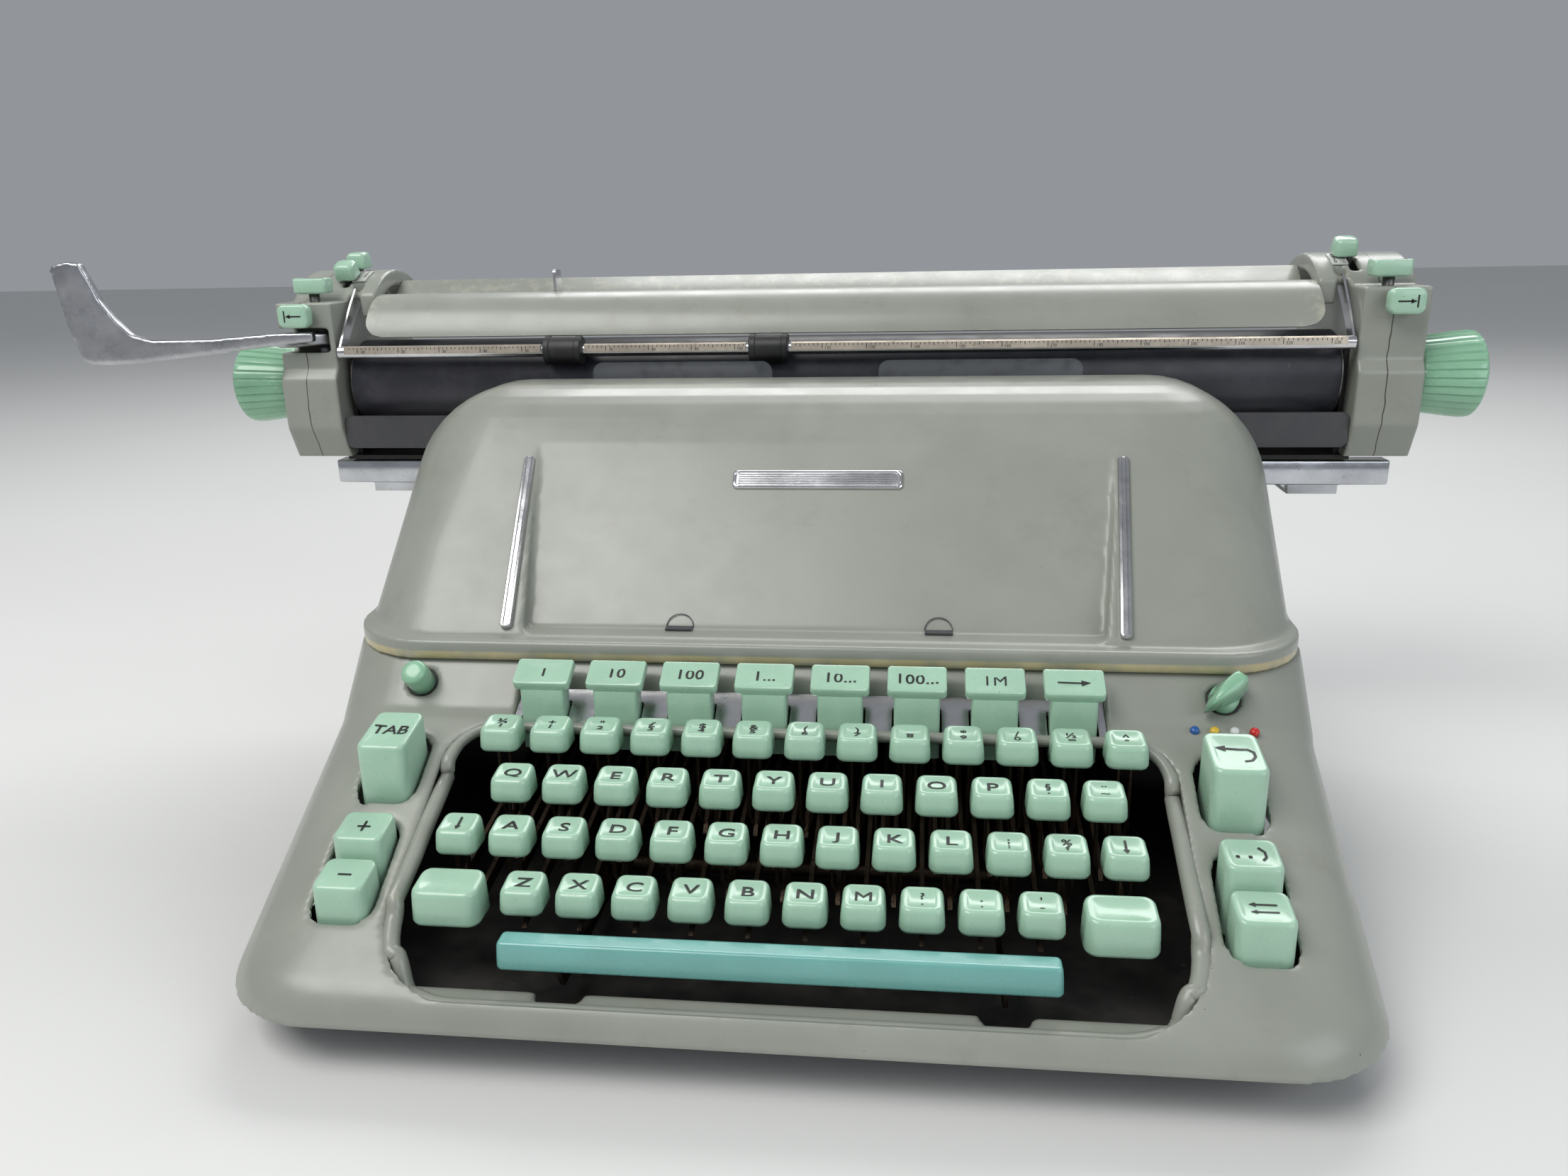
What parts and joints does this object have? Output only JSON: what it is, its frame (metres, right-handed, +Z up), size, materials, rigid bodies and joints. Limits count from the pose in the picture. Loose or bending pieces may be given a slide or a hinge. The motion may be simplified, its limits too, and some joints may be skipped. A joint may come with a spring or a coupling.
{
  "type": "typewriter",
  "caption": "Wide-carriage manual desk typewriter with a sloped keyboard, rounded hood, platen knobs, paper bail and return lever.",
  "frame": {"origin": "middle of the machine's box, on the table under the feet", "axes": "+X to the typist's right along the carriage, +Y towards the back, +Z up"},
  "size_m": [0.684, 0.3676, 0.2537],
  "materials": {
    "body_paint": "satin",
    "key_cap": "semi-gloss",
    "space_bar": "semi-gloss",
    "knob": "semi-gloss",
    "bright_trim": "polished",
    "lever_metal": "polished, worn",
    "inner_steel": "dull",
    "dark_metal": "satin",
    "clear_card": "clear",
    "scale": "satin",
    "rubber": "matte",
    "ribbon": "matte",
    "dots": "enamel"
  },
  "bodies": {
    "body": {"base_shell": "body_paint", "hood": "body_paint", "rear_cover": "body_paint", "bottom_pan": "dark_metal", "rubber_feet": "rubber", "hood_strips": "bright_trim", "badge": "bright_trim", "main_frame": "inner_steel", "carriage_rails": "bright_trim", "decade_guide": "bright_trim", "ribbon_dots": "dots", "key_pivot": "inner_steel", "type_segment": "inner_steel", "typebars": "inner_steel", "type_guide": "clear_card"},
    "carriage": {"carriage_bed": "dark_metal", "left_end_cover": "body_paint", "right_end_cover": "body_paint", "paper_deflector": "body_paint", "paper_table": "body_paint", "front_pan": "dark_metal", "feed_rollers": "rubber", "scale_plates": "scale"},
    "platen_assembly": {"platen": "rubber", "knob_left": "knob", "knob_right": "knob"},
    "bail": {"paper_bail": "bright_trim"},
    "bail_roller_pair": {"bail_rollers": "rubber"},
    "return_lever_arm": {"return_lever": "lever_metal"},
    "margin_left": {"margin_key_left": "key_cap"},
    "release_left": {"release_key_left": "key_cap"},
    "margin_right": {"margin_key_right": "key_cap"},
    "release_right": {"release_key_right": "key_cap"},
    "selector_lf": {"selector_left_front": "key_cap"},
    "selector_lr": {"selector_left_rear": "key_cap"},
    "selector_r": {"selector_right": "key_cap"},
    "paper_edge_guide": {"paper_guide": "bright_trim"},
    "support_left": {"paper_support_left": "bright_trim"},
    "support_right": {"paper_support_right": "bright_trim"},
    "spool_left": {"ribbon_spool_left": "ribbon"},
    "spool_right": {"ribbon_spool_right": "ribbon"},
    "lower_row": {"lower_row_keys": "key_cap"},
    "home_row": {"home_row_keys": "key_cap"},
    "upper_row": {"upper_row_keys": "key_cap"},
    "number_row": {"number_row_keys": "key_cap"},
    "shift_pair": {"shift_keys": "key_cap"},
    "lock_left": {"shift_lock_left": "key_cap"},
    "lock_right": {"shift_lock_right": "key_cap"},
    "space": {"space_bar": "space_bar"},
    "tab": {"tab_key": "key_cap"},
    "return_key": {"carriage_return_key": "key_cap"},
    "plus": {"plus_key": "key_cap"},
    "minus": {"minus_key": "key_cap"},
    "right_upper": {"upper_right_key": "key_cap"},
    "right_lower": {"lower_right_key": "key_cap"},
    "decades": {"decade_keys": "key_cap"},
    "ribbon_push": {"ribbon_button": "key_cap"},
    "ribbon_pointer": {"ribbon_lever": "key_cap"}
  },
  "joints": [
    {"name": "carriage_slide", "type": "slide", "parent": "body", "child": "carriage", "axis": [1, 0, 0], "range_m": [-0.2, 0.2]},
    {"name": "platen_turn", "type": "hinge", "parent": "carriage", "child": "platen_assembly", "pos_m": [0.03363, 0.11183, 0.188], "axis": [1, 0, 0], "continuous": true},
    {"name": "bail_lift", "type": "hinge", "parent": "carriage", "child": "bail", "pos_m": [0.03363, 0.11383, 0.232], "axis": [-1, 0, 0], "range_deg": [0, 55]},
    {"name": "bail_roller_turn", "type": "hinge", "parent": "bail", "child": "bail_roller_pair", "pos_m": [0.03363, 0.08883, 0.2055], "axis": [1, 0, 0], "continuous": true},
    {"name": "return_lever_swing", "type": "hinge", "parent": "carriage", "child": "return_lever_arm", "pos_m": [-0.22237, 0.09883, 0.21], "axis": [0, 0, 1], "range_deg": [0, 25], "stiffness_Nm_per_rad": 0.4, "springref_deg": -11.46},
    {"name": "margin_left_press", "type": "slide", "parent": "carriage", "child": "margin_left", "axis": [0, 1, 0], "range_m": [0, 0.0025], "stiffness_N_per_m": 300, "springref_m": -0.002},
    {"name": "release_left_press", "type": "slide", "parent": "carriage", "child": "release_left", "axis": [0, 0, -1], "range_m": [0, 0.0025], "stiffness_N_per_m": 300, "springref_m": -0.003},
    {"name": "margin_right_press", "type": "slide", "parent": "carriage", "child": "margin_right", "axis": [0, 1, 0], "range_m": [0, 0.0025], "stiffness_N_per_m": 300, "springref_m": -0.002},
    {"name": "release_right_press", "type": "slide", "parent": "carriage", "child": "release_right", "axis": [0, 0, -1], "range_m": [0, 0.0025], "stiffness_N_per_m": 300, "springref_m": -0.003},
    {"name": "selector_left_front_swing", "type": "hinge", "parent": "carriage", "child": "selector_lf", "pos_m": [0.03363, 0.13983, 0.2], "axis": [1, 0, 0], "range_deg": [-6, 3]},
    {"name": "selector_left_rear_swing", "type": "hinge", "parent": "carriage", "child": "selector_lr", "pos_m": [0.03363, 0.13983, 0.2], "axis": [1, 0, 0], "range_deg": [-14, 3]},
    {"name": "selector_right_swing", "type": "hinge", "parent": "carriage", "child": "selector_r", "pos_m": [0.03363, 0.13983, 0.2], "axis": [1, 0, 0], "range_deg": [-30, 12]},
    {"name": "paper_guide_slide", "type": "slide", "parent": "carriage", "child": "paper_edge_guide", "axis": [1, 0, 0], "range_m": [-0.06, 0.12]},
    {"name": "support_left_fold", "type": "hinge", "parent": "carriage", "child": "support_left", "pos_m": [0.03363, 0.15083, 0.2346], "axis": [-1, 0, 0], "range_deg": [0, 100]},
    {"name": "support_right_fold", "type": "hinge", "parent": "carriage", "child": "support_right", "pos_m": [0.03363, 0.15083, 0.2346], "axis": [-1, 0, 0], "range_deg": [0, 100]},
    {"name": "spool_left_turn", "type": "hinge", "parent": "body", "child": "spool_left", "pos_m": [-0.08737, 0.05283, 0.142], "axis": [0, 0, 1], "continuous": true},
    {"name": "spool_right_turn", "type": "hinge", "parent": "body", "child": "spool_right", "pos_m": [0.16263, 0.05283, 0.142], "axis": [0, 0, 1], "continuous": true},
    {"name": "lower_row_press", "type": "hinge", "parent": "body", "child": "lower_row", "pos_m": [0.03763, 0.02483, 0.062], "axis": [1, 0, 0], "range_deg": [0, 4.17], "stiffness_Nm_per_rad": 8, "springref_deg": -8.59},
    {"name": "home_row_press", "type": "hinge", "parent": "body", "child": "home_row", "pos_m": [0.03763, 0.02483, 0.062], "axis": [1, 0, 0], "range_deg": [0, 4.67], "stiffness_Nm_per_rad": 8, "springref_deg": -8.59},
    {"name": "upper_row_press", "type": "hinge", "parent": "body", "child": "upper_row", "pos_m": [0.03763, 0.02483, 0.062], "axis": [1, 0, 0], "range_deg": [0, 5.31], "stiffness_Nm_per_rad": 8, "springref_deg": -8.59},
    {"name": "number_row_press", "type": "hinge", "parent": "body", "child": "number_row", "pos_m": [0.03763, 0.02483, 0.062], "axis": [1, 0, 0], "range_deg": [0, 6.16], "stiffness_Nm_per_rad": 8, "springref_deg": -8.59},
    {"name": "shift_pair_press", "type": "hinge", "parent": "body", "child": "shift_pair", "pos_m": [0.03763, 0.02483, 0.062], "axis": [1, 0, 0], "range_deg": [0, 2.64], "stiffness_Nm_per_rad": 6, "springref_deg": -6.88},
    {"name": "lock_left_press", "type": "hinge", "parent": "body", "child": "lock_left", "pos_m": [0.03763, 0.02483, 0.062], "axis": [1, 0, 0], "range_deg": [0, 2.99], "stiffness_Nm_per_rad": 3, "springref_deg": -5.73},
    {"name": "lock_right_press", "type": "hinge", "parent": "body", "child": "lock_right", "pos_m": [0.03763, 0.02483, 0.062], "axis": [1, 0, 0], "range_deg": [0, 2.99], "stiffness_Nm_per_rad": 3, "springref_deg": -5.73},
    {"name": "space_bar_press", "type": "hinge", "parent": "body", "child": "space", "pos_m": [0.03763, -0.08717, 0.026], "axis": [1, 0, 0], "range_deg": [0, 3.31], "stiffness_Nm_per_rad": 1.5, "springref_deg": -8.59},
    {"name": "tab_press", "type": "slide", "parent": "body", "child": "tab", "axis": [0, 0, -1], "range_m": [0, 0.009], "stiffness_N_per_m": 300, "springref_m": -0.004},
    {"name": "return_key_press", "type": "slide", "parent": "body", "child": "return_key", "axis": [0, 0, -1], "range_m": [0, 0.009], "stiffness_N_per_m": 300, "springref_m": -0.004},
    {"name": "plus_press", "type": "slide", "parent": "body", "child": "plus", "axis": [0, 0, -1], "range_m": [0, 0.006], "stiffness_N_per_m": 300, "springref_m": -0.004},
    {"name": "minus_press", "type": "slide", "parent": "body", "child": "minus", "axis": [0, 0, -1], "range_m": [0, 0.006], "stiffness_N_per_m": 300, "springref_m": -0.004},
    {"name": "right_upper_press", "type": "slide", "parent": "body", "child": "right_upper", "axis": [0, 0, -1], "range_m": [0, 0.006], "stiffness_N_per_m": 300, "springref_m": -0.004},
    {"name": "right_lower_press", "type": "slide", "parent": "body", "child": "right_lower", "axis": [0, 0, -1], "range_m": [0, 0.006], "stiffness_N_per_m": 300, "springref_m": -0.004},
    {"name": "decades_press", "type": "slide", "parent": "body", "child": "decades", "axis": [0, 0, -1], "range_m": [0, 0.006], "stiffness_N_per_m": 300, "springref_m": -0.004},
    {"name": "ribbon_button_press", "type": "slide", "parent": "body", "child": "ribbon_push", "axis": [0, 0.7071, -0.7071], "range_m": [0, 0.005], "stiffness_N_per_m": 200, "springref_m": -0.003},
    {"name": "ribbon_lever_turn", "type": "hinge", "parent": "body", "child": "ribbon_pointer", "pos_m": [0.19263, -0.06567, 0.09], "axis": [0, -0.7071, 0.7071], "range_deg": [0, 75]}
  ],
  "couplings": [
    {"joint": "spool_right_turn", "follows": "spool_left_turn", "ratio": 1}
  ]
}
